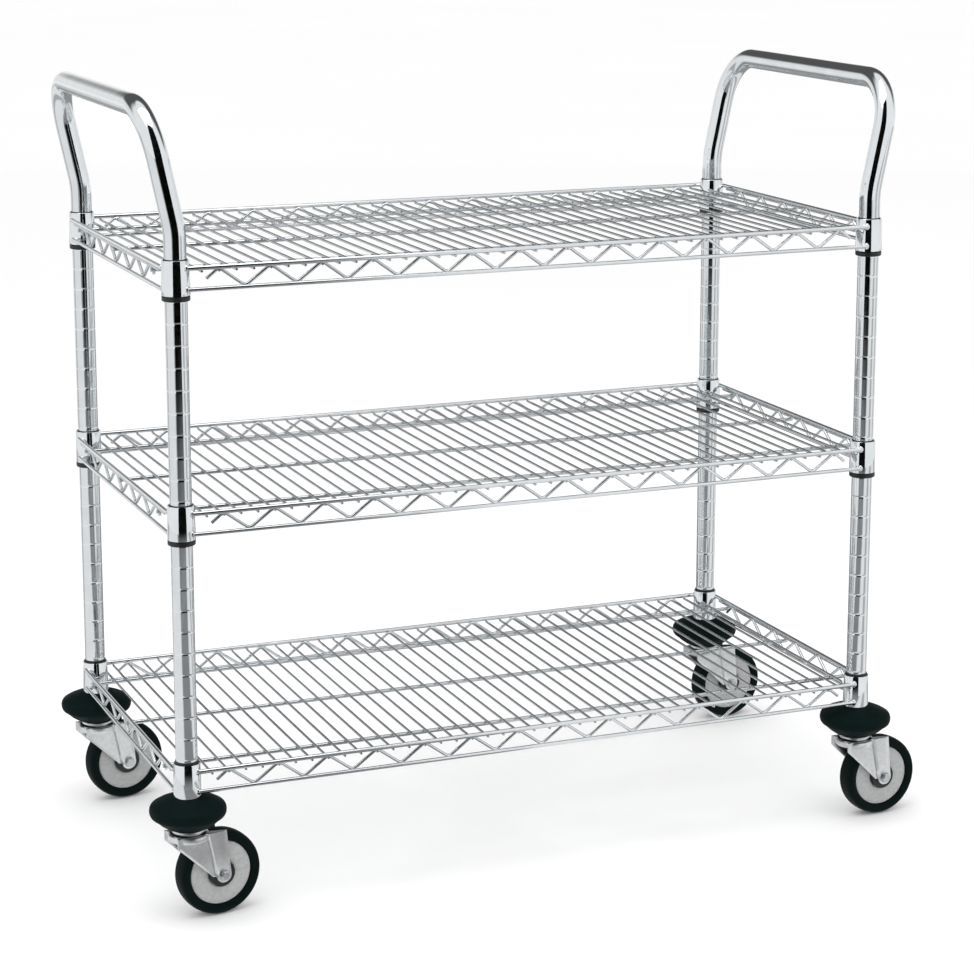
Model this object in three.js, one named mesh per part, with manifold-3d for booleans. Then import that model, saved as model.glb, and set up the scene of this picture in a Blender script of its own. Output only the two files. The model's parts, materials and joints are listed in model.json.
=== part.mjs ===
// Rolling utility cart: three welded wire shelves on two bent tube uprights, on four swivel casters.
// Millimetres, +Z up, floor at z = 0. X runs along the shelves, Y across them.
import * as THREE from "three";
import { mergeVertices } from "three/addons/utils/BufferGeometryUtils.js";
import Module from "manifold-3d";

const wasm = await Module();
wasm.setup();

// ---- driving dimensions ----
const POST_X = 440.5; // half the distance between posts, along the shelf
const POST_Y = 212; // half the distance between posts, across the shelf
const TUBE_R = 12.7; // 1 inch upright tube
const TUBE_BORE_R = 11.2;
const TUBE_SIDES = 12;
const BORE_SIDES = 6;
const POST_FOOT_Z = 149.2;

const HANDLE_BEND_Z = 806; // where the leg starts to lean outward
const HANDLE_BAR_Z = 941; // axis of the grip bar
const HANDLE_LEAN = 0.21; // outward travel per unit of height
const HANDLE_CORNER_R = 60;
const CORNER_STEPS = 4;

const GROOVE_DEPTH = 0.65; // ring groove that a sleeve's ridge snaps into
const GROOVE_HALF = 1.3;

const SHELVES = [
  { name: "bottom", z: 180 },
  { name: "middle", z: 484.8 },
  { name: "top", z: 764.2 },
]; // z is the axis of the upper perimeter wire
const TRUSS_DROP = 24; // from upper to lower perimeter wire
const TRUSS_PITCH = 60.55; // one full wave of the zigzag wire
const TRUSS_THICK = 5;
const CHORD_TOP_HALF = 2.75;
const CHORD_LOW_HALF = 2.5;
const ZIGZAG_WIRE = 4;
const STUB_DROP = 11; // how far the cut end of the zigzag hangs down
const FRONT_TOPS = 14; // zigzag peaks along a long side
const SIDE_TOPS = 6; // zigzag peaks along a short side
const FRONT_OFFSET = 12.6; // long-side wires stand this far outside the post axes
const SIDE_OFFSET = 13.85;

const DECK_WIRE = 3.6;
const DECK_COUNT = 42;
const DECK_PITCH = TRUSS_PITCH / 3; // every third deck wire meets a zigzag peak
const DECK_DROP = 5; // deck wire axis below the upper perimeter wire
const SUPPORT_WIRE = 5;
const SUPPORT_Y = 167; // outer two of the three long wires under the deck
const END_WIRES_X = [428.5, 449.3]; // two short deck wires that run between the collars at each end

const COLLAR_UP = 9; // collar rim above the upper perimeter wire
const COLLAR_DOWN = 31;
const COLLAR_WALL = 1.55;
const TAPER_TOP_R = 13.55; // sleeve outside radius at the collar's upper rim
const TAPER_LOW_R = 14.35;
const SLEEVE_SHOW = 6; // sleeve below the collar
const SLEEVE_FLANGE_R = 16; // rim on that visible part, as wide as the collar
const SLEEVE_SLIT = 1.6;
const GAP = 0.3; // clearance between neighbours

const WHEEL_R = 50.8; // 4 inch wheel
const WHEEL_SIDES = 20;
const TYRE_HALF = 13;
const TYRE_INNER_R = 38.5;
const HUB_R = 15.8; // bearing cover, as wide as the gap between the fork legs allows
const HUB_HALF = 14.9;
const WEB_HALF = 8.5;
const AXLE_R = 4.85;
const TRAIL = 36; // axle behind the swivel axis
const FORK_INNER = 15.7; // inner face of a fork leg
const FORK_PLATE = 3;
const FORK_TOP_Z = 104.8;
const CROWN_Z = 100.5;
const CASTERS = [
  { name: "front_left", x: -1, y: -1, turn: 9 },
  { name: "front_right", x: 1, y: -1, turn: 5 },
  { name: "back_left", x: -1, y: 1, turn: 8 },
  { name: "back_right", x: 1, y: 1, turn: 5 },
]; // turn is how far each fork has swung from the cart's long axis, in degrees

const BUMPER_R = 44.75;
const BUMPER_SIDES = 16;
const LEFTMOST_X = -POST_X - BUMPER_R;
const RIGHTMOST_X = POST_X + TRAIL * Math.cos(THREE.MathUtils.degToRad(5)) + WHEEL_R;
const CENTRE_X = (LEFTMOST_X + RIGHTMOST_X) / 2; // so that the footprint is centred on the origin

// ---- solids and conversions ----
function toSolid(geometry) {
  const flat = geometry.index ? geometry.toNonIndexed() : geometry;
  const bare = new THREE.BufferGeometry();
  bare.setAttribute("position", flat.getAttribute("position"));
  const merged = mergeVertices(bare, 1e-4);
  return new wasm.Manifold(
    new wasm.Mesh({
      numProp: 3,
      vertProperties: merged.attributes.position.array,
      triVerts: new Uint32Array(merged.index.array),
    }),
  );
}

function toGeometry(solid) {
  const mesh = solid.getMesh();
  const geometry = new THREE.BufferGeometry();
  geometry.setAttribute("position", new THREE.BufferAttribute(mesh.vertProperties, mesh.numProp));
  geometry.setIndex(new THREE.BufferAttribute(mesh.triVerts, 1));
  return geometry;
}

// A ring or turned piece about Z from a closed [radius, z] profile.
function turned(profile, sides) {
  const points = [...profile, profile[0]].map(([r, z]) => new THREE.Vector2(r, z));
  const geometry = new THREE.LatheGeometry(points, sides);
  geometry.rotateX(Math.PI / 2);
  const solid = toSolid(geometry);
  if (solid.volume() > 0) return geometry;
  return turned([...profile].reverse(), sides);
}

function box(x0, x1, y0, y1, z0, z1) {
  const geometry = new THREE.BoxGeometry(x1 - x0, y1 - y0, z1 - z0);
  geometry.translate((x0 + x1) / 2, (y0 + y1) / 2, (z0 + z1) / 2);
  return geometry;
}

// A flat plate in XZ from an outline, its thickness centred on y.
function plateXZ(shape, y, thick) {
  const geometry = new THREE.ExtrudeGeometry(shape, { depth: thick, bevelEnabled: false });
  geometry.rotateX(Math.PI / 2);
  geometry.translate(0, y + thick / 2, 0);
  return geometry;
}

function outline(points) {
  return new THREE.Shape(points.map(([x, y]) => new THREE.Vector2(x, y)));
}

// A path that is sampled exactly at its corner points.
class CornerPath extends THREE.Curve {
  constructor(points) {
    super();
    this.points = points;
  }
  getPoint(t, target = new THREE.Vector3()) {
    const last = this.points.length - 1;
    return target.copy(this.points[Math.round(t * last)]);
  }
  getPointAt(u, target) {
    return this.getPoint(u, target);
  }
  getTangentAt(u, target = new THREE.Vector3()) {
    const last = this.points.length - 1;
    const i = Math.round(u * last);
    const before = this.points[Math.max(i - 1, 0)];
    const here = this.points[i];
    const after = this.points[Math.min(i + 1, last)];
    const into = here.clone().sub(before).normalize();
    const out = after.clone().sub(here).normalize();
    return target.copy(into).add(out).normalize();
  }
}

// ---- uprights ----
function grooveLevels() {
  return SHELVES.map((shelf) => shelf.z - 11);
}

// One leg of the bent tube, from its foot up to the middle of the grip bar.
function legPoints(side, y) {
  const points = [new THREE.Vector3(side * POST_X, y, POST_FOOT_Z)];
  for (const z of grooveLevels()) {
    for (const step of [-GROOVE_HALF, 0, GROOVE_HALF]) {
      points.push(new THREE.Vector3(side * POST_X, y, z + step));
    }
  }
  const lean = new THREE.Vector3(side * HANDLE_LEAN, 0, 1).normalize();
  const bend = new THREE.Vector3(side * POST_X, y, HANDLE_BEND_Z);
  points.push(bend);
  const leaning = (HANDLE_BAR_Z - HANDLE_BEND_Z) / lean.z - HANDLE_CORNER_R;
  const corner = bend.clone().addScaledVector(lean, leaning);
  const inward = new THREE.Vector3(0, -Math.sign(y), 0);
  for (let i = 0; i <= CORNER_STEPS; i += 1) {
    const angle = (i / CORNER_STEPS) * (Math.PI / 2);
    const point = corner.clone().addScaledVector(lean, HANDLE_CORNER_R * Math.sin(angle));
    point.addScaledVector(inward, HANDLE_CORNER_R * (1 - Math.cos(angle)));
    points.push(point);
  }
  return points;
}

function ringOutline(radius, sides) {
  const points = [];
  for (let i = 0; i < sides; i += 1) {
    const angle = (i / sides) * 2 * Math.PI;
    points.push(new THREE.Vector2(radius * Math.cos(angle), radius * Math.sin(angle)));
  }
  return points;
}

function bentTube(side) {
  const front = legPoints(side, -POST_Y);
  const back = legPoints(side, POST_Y).reverse();
  const points = [...front, ...back];
  const section = new THREE.Shape(ringOutline(TUBE_R, TUBE_SIDES));
  section.holes.push(new THREE.Path(ringOutline(TUBE_BORE_R, BORE_SIDES)));
  const geometry = new THREE.ExtrudeGeometry(section, {
    extrudePath: new CornerPath(points),
    steps: points.length - 1,
    bevelEnabled: false,
  });
  // The outer skin is drawn in at each groove's bottom.
  const at = geometry.getAttribute("position");
  for (let i = 0; i < at.count; i += 1) {
    const dx = at.getX(i) - side * POST_X;
    const dy = at.getY(i) - Math.sign(at.getY(i)) * POST_Y;
    const radius = Math.hypot(dx, dy);
    const inGroove = grooveLevels().some((z) => Math.abs(z - at.getZ(i)) < 0.01);
    if (inGroove && radius > TUBE_R - 0.1) {
      const drawn = (TUBE_R - GROOVE_DEPTH) / radius;
      at.setX(i, side * POST_X + dx * drawn);
      at.setY(i, Math.sign(at.getY(i)) * POST_Y + dy * drawn);
    }
  }
  return geometry;
}

// ---- shelf trusses ----
// Openings of one truss between its two straight wires and the zigzag that joins them.
// The two end openings run out past the truss and leave the cut stub of the zigzag.
function trussWindows(tops, halfLength, z) {
  const slope = TRUSS_PITCH / 2 / TRUSS_DROP;
  const wireHalf = ZIGZAG_WIRE / 2 / Math.cos(Math.atan(slope));
  const upper = z - CHORD_TOP_HALF;
  const lower = z - TRUSS_DROP + CHORD_LOW_HALF;
  const lastTop = ((tops - 1) / 2) * TRUSS_PITCH;
  const upperInset = CHORD_TOP_HALF * slope + wireHalf;
  const lowerInset = CHORD_LOW_HALF * slope + wireHalf;
  const reach = (TRUSS_PITCH / 2 - wireHalf) / slope;
  const stubX = lastTop + STUB_DROP * slope;
  const pastEnd = halfLength + TRUSS_THICK;
  const endWindow = [
    [pastEnd, lower],
    [lastTop - TRUSS_PITCH / 2 + lowerInset, lower],
    [lastTop, upper],
    [stubX - wireHalf, z - STUB_DROP],
    [stubX + wireHalf, z - STUB_DROP],
    [lastTop + upperInset, upper],
    [pastEnd, upper],
  ];
  const windows = [endWindow, endWindow.map(([x, height]) => [-x, height])];
  for (let i = 0; i < tops - 1; i += 1) {
    const top = i * TRUSS_PITCH - lastTop;
    const middle = top + TRUSS_PITCH / 2;
    windows.push([
      [top + upperInset, upper],
      [top + TRUSS_PITCH - upperInset, upper],
      [middle, z - reach],
    ]);
    if (i < tops - 2) {
      windows.push([
        [middle + lowerInset, lower],
        [middle + TRUSS_PITCH - lowerInset, lower],
        [top + TRUSS_PITCH, z - TRUSS_DROP + reach],
      ]);
    }
  }
  return windows;
}

// One truss as a flat plate along X, centred on y = 0.
function truss(tops, halfLength, z) {
  const low = z - TRUSS_DROP - CHORD_LOW_HALF;
  const high = z + CHORD_TOP_HALF;
  const half = TRUSS_THICK / 2;
  let solid = toSolid(box(-halfLength, halfLength, -half, half, low, high));
  for (const window of trussWindows(tops, halfLength, z)) {
    solid = solid.subtract(toSolid(plateXZ(outline(window), 0, TRUSS_THICK + 2)));
  }
  return toGeometry(solid);
}

function longTruss(side, z) {
  const plate = truss(FRONT_TOPS, POST_X - 13, z);
  return plate.translate(0, side * (POST_Y + FRONT_OFFSET), 0);
}

function collarRadius(z, shelfZ) {
  const along = (shelfZ + COLLAR_UP - z) / (COLLAR_UP + COLLAR_DOWN);
  return TAPER_TOP_R + along * (TAPER_LOW_R - TAPER_TOP_R);
}

function collar(z) {
  const high = z + COLLAR_UP;
  const low = z - COLLAR_DOWN;
  const inHigh = collarRadius(high, z) + GAP;
  const inLow = collarRadius(low, z) + GAP;
  return turned(
    [
      [inLow, low],
      [inLow + COLLAR_WALL, low],
      [inHigh + COLLAR_WALL, high],
      [inHigh, high],
    ],
    TUBE_SIDES,
  );
}

// A short side: its truss with the two corner collars welded to it.
function endFrame(side, z) {
  const plate = truss(SIDE_TOPS, POST_Y - 8.5, z);
  plate.rotateZ(Math.PI / 2);
  plate.translate(side * (POST_X + SIDE_OFFSET), 0, 0);
  const front = collar(z).translate(side * POST_X, -POST_Y, 0);
  const back = collar(z).translate(side * POST_X, POST_Y, 0);
  return toGeometry(toSolid(plate).add(toSolid(front)).add(toSolid(back)));
}

// ---- shelf deck ----
function deck(z) {
  const wireLow = z - DECK_DROP - DECK_WIRE / 2;
  const wireHigh = z - DECK_DROP + DECK_WIRE / 2;
  const reachY = POST_Y + FRONT_OFFSET - TRUSS_THICK / 2 - GAP;
  const endReachY = POST_Y - 18;
  const lastEndX = END_WIRES_X[1] + DECK_WIRE / 2;
  const wires = [];
  for (let i = 0; i < DECK_COUNT; i += 1) {
    const x = (i - (DECK_COUNT - 1) / 2) * DECK_PITCH;
    wires.push([x, reachY]);
  }
  for (const x of END_WIRES_X) {
    wires.push([-x, endReachY], [x, endReachY]);
  }
  let solid = null;
  for (const y of [-SUPPORT_Y, 0, SUPPORT_Y]) {
    const half = SUPPORT_WIRE / 2;
    const bar = box(-lastEndX, lastEndX, y - half, y + half, wireLow - SUPPORT_WIRE, wireLow);
    solid = solid ? solid.add(toSolid(bar)) : toSolid(bar);
  }
  for (const [x, reach] of wires) {
    const wire = box(x - DECK_WIRE / 2, x + DECK_WIRE / 2, -reach, reach, wireLow, wireHigh);
    solid = solid.add(toSolid(wire));
  }
  return toGeometry(solid);
}

// ---- tapered sleeve between post and collar ----
function sleeve(shelf) {
  const onBumper = shelf.name === "bottom";
  const high = shelf.z + COLLAR_UP + (onBumper ? 3 : 1);
  const low = shelf.z - COLLAR_DOWN - (onBumper ? 0 : SLEEVE_SHOW);
  const groove = shelf.z - 11;
  const flange = [
    [SLEEVE_FLANGE_R, low],
    [SLEEVE_FLANGE_R, shelf.z - COLLAR_DOWN - GAP],
    [TAPER_LOW_R, shelf.z - COLLAR_DOWN - GAP],
  ];
  const ring = turned(
    [
      [TUBE_R + GAP, low],
      ...(onBumper ? [[TAPER_LOW_R, low]] : flange),
      [TAPER_TOP_R, high],
      [TUBE_R + GAP, high],
      [TUBE_R + GAP, groove + GROOVE_HALF],
      [TUBE_R + GAP - GROOVE_DEPTH, groove],
      [TUBE_R + GAP, groove - GROOVE_HALF],
    ],
    TUBE_SIDES,
  );
  const slit = box(0, 20, -SLEEVE_SLIT / 2, SLEEVE_SLIT / 2, low - 1, high + 1);
  return toGeometry(toSolid(ring).subtract(toSolid(slit)));
}

// ---- casters, each built about its own swivel axis, trailing towards +X ----
function bumper() {
  return turned(
    [
      [7.2, 110.2],
      [20, 110.2],
      [36, 117],
      [43.5, 125.5],
      [BUMPER_R, 132],
      [42, 141.5],
      [31, 148.8],
      [7.2, 148.8],
    ],
    BUMPER_SIDES,
  );
}

// Kingpin head, lower raceway, shank through the bumper and the insert that grips the post's bore.
function stem() {
  return turned(
    [
      [0, 96.8],
      [7.5, 96.8],
      [7.5, 100.2],
      [4.7, 100.2],
      [4.7, 105.1],
      [19, 105.1],
      [19, 109.8],
      [6.6, 109.8],
      [6.6, 151],
      [9.3, 153],
      [9.3, 190],
      [0, 196],
    ],
    TUBE_SIDES,
  );
}

// A rod, ring or turned piece whose axis runs along Y through the axle.
function aroundAxle(geometry) {
  geometry.rotateX(Math.PI / 2);
  geometry.translate(TRAIL, 0, WHEEL_R);
  return geometry;
}

function forkLeg(side) {
  const axleX = TRAIL;
  const points = [
    [-22, FORK_TOP_Z],
    [-22, 93],
    [27, 43.5],
    [33, 40.2],
    [39, 40.2],
    [44.5, 43.5],
    [47, 50],
    [46, 56],
    [axleX + 3, FORK_TOP_Z],
  ];
  const y = side * (FORK_INNER + FORK_PLATE / 2);
  return toSolid(plateXZ(outline(points), y, FORK_PLATE));
}

function fork() {
  const outer = FORK_INNER + FORK_PLATE;
  const disc = turned(
    [
      [0, CROWN_Z],
      [20, CROWN_Z],
      [23, CROWN_Z + 2.5],
      [23, FORK_TOP_Z],
      [0, FORK_TOP_Z],
    ],
    TUBE_SIDES,
  );
  const bridge = box(-22, 14, -outer, outer, CROWN_Z, FORK_TOP_Z);
  const pinHole = turned([[0, 90], [5, 90], [5, 110], [0, 110]], TUBE_SIDES);
  const axleHole = aroundAxle(turned([[0, -25], [5.3, -25], [5.3, 25], [0, 25]], TUBE_SIDES));
  const plates = toSolid(disc).add(toSolid(bridge)).add(forkLeg(-1)).add(forkLeg(1));
  return toGeometry(plates.subtract(toSolid(pinHole)).subtract(toSolid(axleHole)));
}

// Hexagon head outside the front leg, plain shank through wheel and fork.
function axleBolt() {
  const face = FORK_INNER + FORK_PLATE + GAP;
  const shank = aroundAxle(turned([[0, -26.5], [AXLE_R, -26.5], [AXLE_R, 22], [0, 22]], TUBE_SIDES));
  const head = aroundAxle(turned([[0, face], [7.5, face], [7.5, face + 5], [0, face + 5]], 6));
  return toGeometry(toSolid(shank).add(toSolid(head)));
}

function axleNut() {
  const face = -(FORK_INNER + FORK_PLATE + GAP);
  const bore = (AXLE_R + GAP) / Math.cos(Math.PI / 6); // the thread's tips clear the six flats
  return aroundAxle(turned([[bore, face - 6.5], [7.8, face - 6.5], [7.8, face], [bore, face]], 6));
}

// Flat of the many-sided tyre faces the floor, so its corners lie slightly outside the rolling radius.
function wheelTurned(profile) {
  const geometry = turned(profile, WHEEL_SIDES);
  geometry.rotateZ(Math.PI / WHEEL_SIDES);
  return aroundAxle(geometry);
}

function wheelCore() {
  return wheelTurned([
    [AXLE_R + GAP, -HUB_HALF],
    [HUB_R, -HUB_HALF],
    [HUB_R, -WEB_HALF],
    [TYRE_INNER_R - GAP, -WEB_HALF],
    [TYRE_INNER_R - GAP, WEB_HALF],
    [HUB_R, WEB_HALF],
    [HUB_R, HUB_HALF],
    [AXLE_R + GAP, HUB_HALF],
  ]);
}

function tyre() {
  const corner = WHEEL_R / Math.cos(Math.PI / WHEEL_SIDES);
  return wheelTurned([
    [TYRE_INNER_R, -10.5],
    [corner - 7, -TYRE_HALF],
    [corner - 1.8, -9.5],
    [corner, -4],
    [corner, 4],
    [corner - 1.8, 9.5],
    [corner - 7, TYRE_HALF],
    [TYRE_INNER_R, 10.5],
  ]);
}

// ---- materials and assembly ----
const chrome = { color: 0xdfe2e5, roughness: 0.12, metalness: 1 };
const zinc = { color: 0xb9bec1, roughness: 0.38, metalness: 1 };
const blackPlastic = { color: 0x111414, roughness: 0.45, metalness: 0 };
const blackRubber = { color: 0x0d1111, roughness: 0.7, metalness: 0 };
const greyPlastic = { color: 0xb4b5b4, roughness: 0.5, metalness: 0 };

function addMesh(group, name, geometry, look) {
  const mesh = new THREE.Mesh(geometry, new THREE.MeshStandardMaterial(look));
  mesh.name = name;
  group.add(mesh);
}

const cart = new THREE.Group();
cart.name = "rolling_utility_cart";
cart.position.set(-CENTRE_X, 0, 0);

addMesh(cart, "upright_left", bentTube(-1), chrome);
addMesh(cart, "upright_right", bentTube(1), chrome);

for (const shelf of SHELVES) {
  addMesh(cart, shelf.name + "_deck", deck(shelf.z), chrome);
  addMesh(cart, shelf.name + "_truss_front", longTruss(-1, shelf.z), chrome);
  addMesh(cart, shelf.name + "_truss_back", longTruss(1, shelf.z), chrome);
  addMesh(cart, shelf.name + "_end_left", endFrame(-1, shelf.z), chrome);
  addMesh(cart, shelf.name + "_end_right", endFrame(1, shelf.z), chrome);
}

for (const caster of CASTERS) {
  const corner = new THREE.Group();
  corner.position.set(caster.x * POST_X, caster.y * POST_Y, 0);
  cart.add(corner);
  for (const shelf of SHELVES) {
    const ring = new THREE.Group();
    ring.rotation.z = caster.x > 0 ? Math.PI : 0;
    corner.add(ring);
    addMesh(ring, shelf.name + "_sleeve_" + caster.name, sleeve(shelf), blackPlastic);
  }
  addMesh(corner, "bumper_" + caster.name, bumper(), blackRubber);
  addMesh(corner, "stem_" + caster.name, stem(), zinc);
  const swivel = new THREE.Group();
  swivel.rotation.z = THREE.MathUtils.degToRad(caster.turn);
  corner.add(swivel);
  addMesh(swivel, "fork_" + caster.name, fork(), zinc);
  addMesh(swivel, "axle_bolt_" + caster.name, axleBolt(), zinc);
  addMesh(swivel, "axle_nut_" + caster.name, axleNut(), zinc);
  addMesh(swivel, "wheel_core_" + caster.name, wheelCore(), greyPlastic);
  addMesh(swivel, "tyre_" + caster.name, tyre(), blackRubber);
}

export default cart;
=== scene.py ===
# Rolling utility cart: three chromed wire shelves on two bent tube uprights, on four swivel casters.
# The file builds it in the order it is put together: uprights, shelves, sleeves, bumpers, casters.
# The studio comes last.
import json
import math

import bpy
import numpy as np
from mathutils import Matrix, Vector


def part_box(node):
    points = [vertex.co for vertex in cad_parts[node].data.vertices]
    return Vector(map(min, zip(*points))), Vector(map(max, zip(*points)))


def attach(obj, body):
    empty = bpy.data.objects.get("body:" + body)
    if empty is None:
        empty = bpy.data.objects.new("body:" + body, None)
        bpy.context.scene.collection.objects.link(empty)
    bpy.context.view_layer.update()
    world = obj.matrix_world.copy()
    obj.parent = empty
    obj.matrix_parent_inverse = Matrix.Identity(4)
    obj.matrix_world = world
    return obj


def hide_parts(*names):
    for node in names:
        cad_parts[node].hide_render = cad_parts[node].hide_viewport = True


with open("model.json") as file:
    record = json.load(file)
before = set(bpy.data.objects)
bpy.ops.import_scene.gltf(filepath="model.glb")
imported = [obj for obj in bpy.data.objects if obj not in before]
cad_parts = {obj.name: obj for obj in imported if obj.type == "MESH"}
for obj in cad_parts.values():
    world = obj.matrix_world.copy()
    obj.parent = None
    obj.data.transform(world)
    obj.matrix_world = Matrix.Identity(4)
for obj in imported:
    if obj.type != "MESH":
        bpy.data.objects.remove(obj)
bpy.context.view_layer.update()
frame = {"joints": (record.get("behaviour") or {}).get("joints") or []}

# ---- Uprights ----
# Two lengths of 1 inch steel tube, each bent into an upside-down U whose top is the push handle.
# The tube is drawn, rolled with a ring groove every inch, bent, then bright chrome plated.
MM = 0.001
CORNERS = ("front_left", "front_right", "back_left", "back_right")
TUBE_R = 12.7
POST_FOOT = 149.4
STRAIGHT_TOP = 775
HANDLE_BEND = 806  # height at which the leaning line would meet the straight one
HANDLE_LEAN = 0.21  # outward travel per unit of height
GENTLE_BEND_R = 120
HANDLE_CORNER_R = 60
GRIP_MIDDLE = 40  # a point on the straight grip bar, this far from the end of its bend
GROOVE_PITCH = 25.4
GROOVE_COUNT = 24
GROOVE_DEPTH = 0.3
GROOVE_FIRST = 169.0


def sweep(path, radius, sides, toward):
    """A round bar along a path. Ring i is centred on path point i and lies square to the path there;
    its first spoke is `toward` less its share along the path, and its radius is radius[i]."""
    path = np.asarray(path, float)
    ahead = np.gradient(path, axis=0)
    ahead /= np.linalg.norm(ahead, axis=1, keepdims=True)
    spoke = np.asarray(toward, float) - (ahead @ np.asarray(toward, float))[:, None] * ahead
    spoke /= np.linalg.norm(spoke, axis=1, keepdims=True)
    other = np.cross(ahead, spoke)
    turn = 2 * np.pi * np.arange(sides) / sides
    reach = np.broadcast_to(radius, len(path))[:, None, None]
    around = np.cos(turn)[None, :, None] * spoke[:, None] + np.sin(turn)[None, :, None] * other[:, None]
    return path[:, None] + reach * around


def skin(rings, hollow=False):
    """Faces over rows of rings: point j of a ring joins points j and j + 1 of the next. The two end
    rings are filled flat, or, on a hollow turned part, the last ring joins the first."""
    rows, sides = rings.shape[:2]
    at = np.arange(rows * sides).reshape(rows, sides)
    low, high = (at, np.roll(at, -1, axis=0)) if hollow else (at[:-1], at[1:])
    quads = np.stack([low, np.roll(low, -1, axis=1), np.roll(high, -1, axis=1), high], -1)
    ends = [] if hollow else [at[0, ::-1].tolist(), at[-1].tolist()]
    return rings.reshape(-1, 3), quads.reshape(-1, 4), ends


def piece(name, surfaces, finishes, crease=38):
    """One mesh from several surfaces: their points are stacked, and each surface's face numbers are
    raised by the count of points before it. Edges sharper than the crease angle stay crisp. One
    finish covers the piece, or each surface takes its own from a list."""
    starts = np.cumsum([0] + [len(points) for points, _, _ in surfaces])
    points = np.concatenate([points for points, _, _ in surfaces]) * MM
    faces = []
    for start, (_, quads, ends) in zip(starts, surfaces):
        faces += (quads + start).tolist() + [[int(start) + i for i in end] for end in ends]
    mesh = bpy.data.meshes.new(name)
    mesh.from_pydata(points.tolist(), [], faces)
    mesh.shade_smooth()
    mesh.set_sharp_from_angle(angle=math.radians(crease))
    worn = finishes if isinstance(finishes, list) else [finishes] * len(surfaces)
    kinds = list(dict.fromkeys(worn))
    for finish in kinds:
        mesh.materials.append(finish)
    spans = [len(quads) + len(ends) for _, quads, ends in surfaces]
    mesh.polygons.foreach_set("material_index", np.repeat([kinds.index(w) for w in worn], spans))
    made = bpy.data.objects.new(name, mesh)
    bpy.context.scene.collection.objects.link(made)
    return made


def stand_for(made, node, body):
    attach(made, body)
    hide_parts(node)


def linear(code):
    """sRGB hex to linear RGBA: below 0.04045 a channel is divided by 12.92, above it
    ((channel + 0.055) / 1.055) is raised to 2.4."""
    channels = np.array([int(code[i : i + 2], 16) for i in (1, 3, 5)]) / 255
    low, high = channels / 12.92, ((channels + 0.055) / 1.055) ** 2.4
    return (*np.where(channels < 0.04045, low, high).tolist(), 1.0)


def add(tree, kind, inputs=None, **settings):
    """Adds a node, sets its properties, and gives each named or numbered input a value or a link."""
    made = tree.nodes.new(kind)
    for key, value in settings.items():
        setattr(made, key, value)
    for key, value in (inputs or {}).items():
        if isinstance(value, bpy.types.NodeSocket):
            tree.links.new(value, made.inputs[key])
        else:
            made.inputs[key].default_value = value
    return made


def new_finish(name, metallic, roughness):
    """An empty node material: its tree, its shader, and the piece's own coordinates in metres."""
    made = bpy.data.materials.new(name)
    made.use_nodes = True
    tree = made.node_tree
    shader = tree.nodes["Principled BSDF"]
    shader.inputs["Metallic"].default_value = metallic
    shader.inputs["Roughness"].default_value = roughness
    place = add(tree, "ShaderNodeTexCoord").outputs["Object"]
    return made, tree, shader, place


# Bright nickel-chrome plate over polished tube: near-mirror, with the faint unevenness of the
# buffed steel under it (waves about 25 mm long) and a thin haze of handling that dulls it in patches.
tube_chrome, tree, shader, place = new_finish("bright_chrome_plate_on_buffed_tube", 1.0, 0.06)
waves = add(tree, "ShaderNodeTexNoise", {"Vector": place, "Scale": 1 / 0.025, "Detail": 2.0})
haze = add(tree, "ShaderNodeTexNoise", {"Vector": place, "Scale": 1 / 0.006, "Detail": 4.0})
tint = add(tree, "ShaderNodeMix", {"Factor": waves.outputs["Fac"]}, data_type="RGBA")
tint.inputs["A"].default_value = linear("#e9ecee")
tint.inputs["B"].default_value = linear("#d3d8db")
dull = add(tree, "ShaderNodeMapRange", {"Value": haze.outputs["Fac"], "From Min": 0.35, "From Max": 0.75})
dull.inputs["To Min"].default_value = 0.04
dull.inputs["To Max"].default_value = 0.11
dent = add(tree, "ShaderNodeBump", {"Height": waves.outputs["Fac"], "Strength": 0.10, "Distance": 0.0006})
tree.links.new(tint.outputs["Result"], shader.inputs["Base Color"])
tree.links.new(dull.outputs["Result"], shader.inputs["Roughness"])
tree.links.new(dent.outputs["Normal"], shader.inputs["Normal"])


def centre_of(node):
    low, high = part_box(node)
    return np.array([(a + b) / 2 for a, b in zip(low, high)]) / MM


post_at = {corner: centre_of("bumper_" + corner)[:2] for corner in CORNERS}


def arc(centre, start, across, radius, swing, steps):
    """Points on a circle arc: centre plus the radius times (cos(a) start + sin(a) across), with the
    angle a going evenly from 0 to `swing`."""
    a = np.linspace(0, swing, steps)[:, None]
    return np.asarray(centre) + radius * (np.cos(a) * np.asarray(start) + np.sin(a) * np.asarray(across))


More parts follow.
